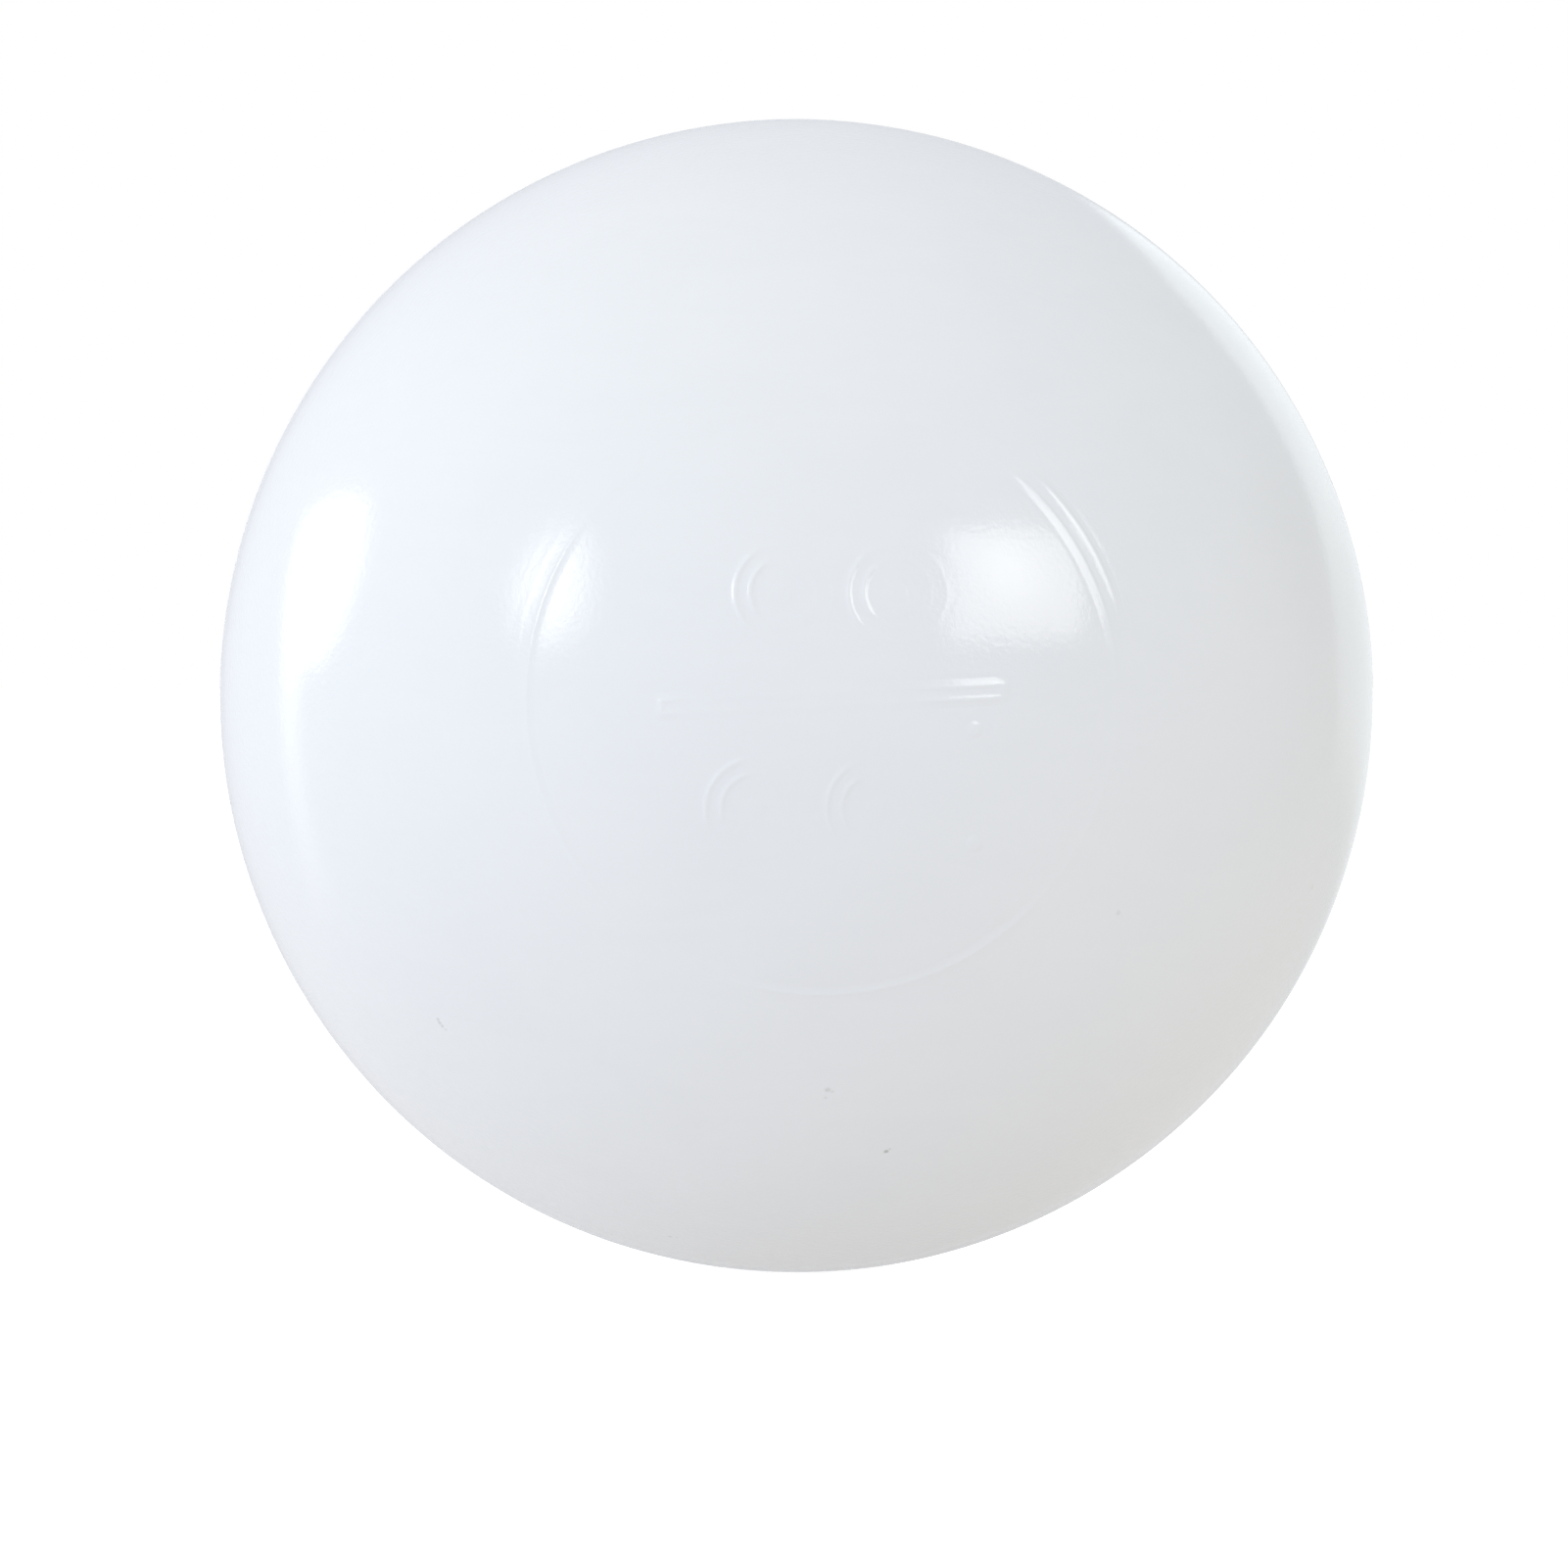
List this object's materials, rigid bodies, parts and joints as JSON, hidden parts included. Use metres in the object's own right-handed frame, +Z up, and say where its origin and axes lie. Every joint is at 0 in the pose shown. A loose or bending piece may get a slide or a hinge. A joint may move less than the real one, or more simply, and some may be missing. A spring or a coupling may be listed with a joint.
{
  "type": "hollow plastic ball",
  "caption": "Hollow white moulded plastic play ball, larger than a regulation table tennis ball, with a raised ring, a bar and plain ring-and-dot marks on one side.",
  "frame": {"origin": "centre of the ball", "axes": "+Z up; -Y through the middle of the raised ring at the front pole, +Y through the sealed needle hole at the rear pole; the parting plane between the half shells is Y = 0; +X completes the right-handed set, to the right when the raised ring is seen from the front"},
  "size_m": [0.055, 0.0554, 0.055],
  "materials": {
    "moulded_white": "glossy, slightly translucent milky white polyethylene with a very fine grain",
    "fused_white": "satin, re-melted polyethylene"
  },
  "bodies": {
    "root": {"front_half_shell": "moulded_white", "rear_half_shell": "moulded_white", "seam_weld_bead": "fused_white", "blow_hole_plug": "fused_white"}
  },
  "joints": []
}
